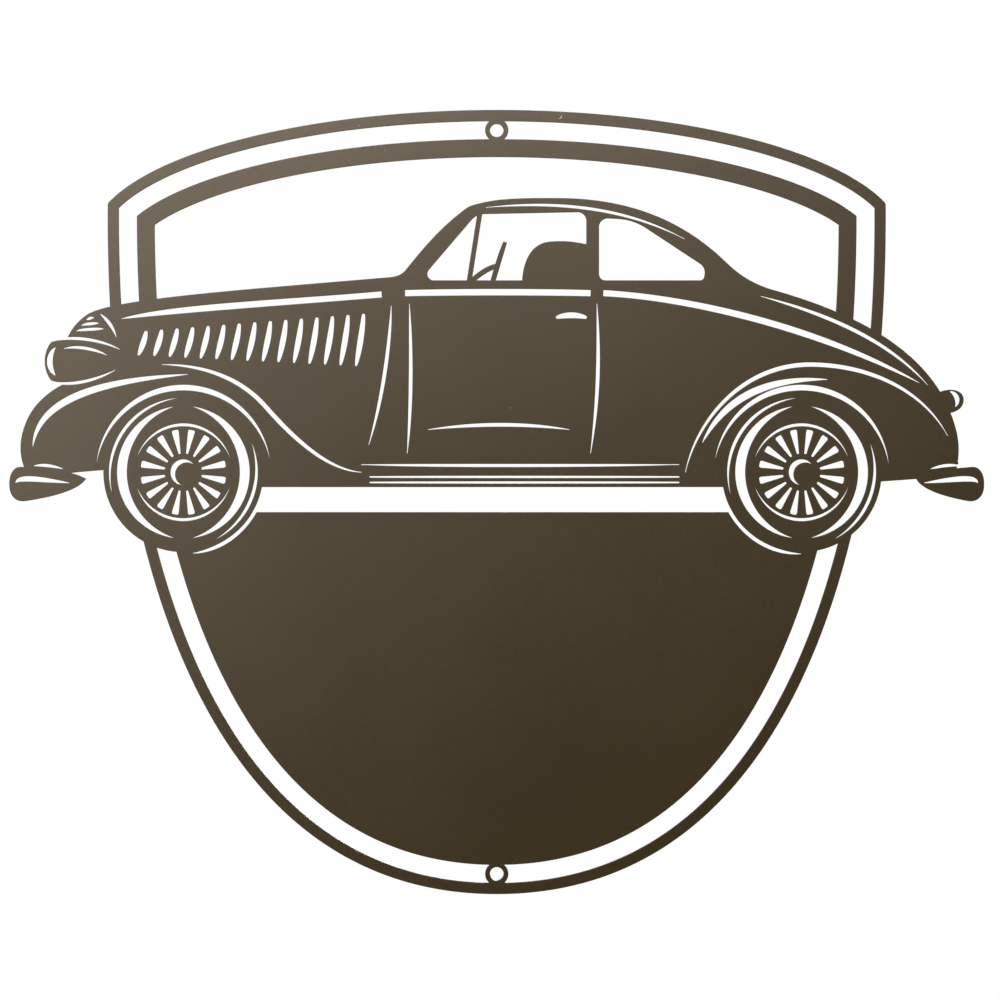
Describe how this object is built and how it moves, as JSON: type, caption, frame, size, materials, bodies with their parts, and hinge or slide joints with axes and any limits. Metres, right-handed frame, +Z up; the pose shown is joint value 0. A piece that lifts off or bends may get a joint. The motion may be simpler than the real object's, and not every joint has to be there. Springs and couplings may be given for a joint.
{
  "type": "wall sign",
  "caption": "Flat cut-out metal wall sign: a shield-shaped double-band frame with a plain lower panel, crossed by a vintage coupe in side view.",
  "frame": {"origin": "in the wall plane, halfway between the two screw holes", "axes": "+X to the viewer's right along the sign, +Y out of the back of the sign into the wall, +Z up; the front faces -Y"},
  "size_m": [0.4572, 0.0079, 0.3678],
  "materials": {
    "bronze_coat": "satin bronze-brown powder coat on steel sheet",
    "spacer_plastic": "moulded, matt",
    "pad_rubber": "moulded, matt"
  },
  "bodies": {
    "root": {"sign_plate": "bronze_coat", "upper_spacer": "spacer_plastic", "lower_spacer": "spacer_plastic", "nose_pad": "pad_rubber", "tail_pad": "pad_rubber", "left_pad": "pad_rubber", "right_pad": "pad_rubber"}
  },
  "joints": []
}
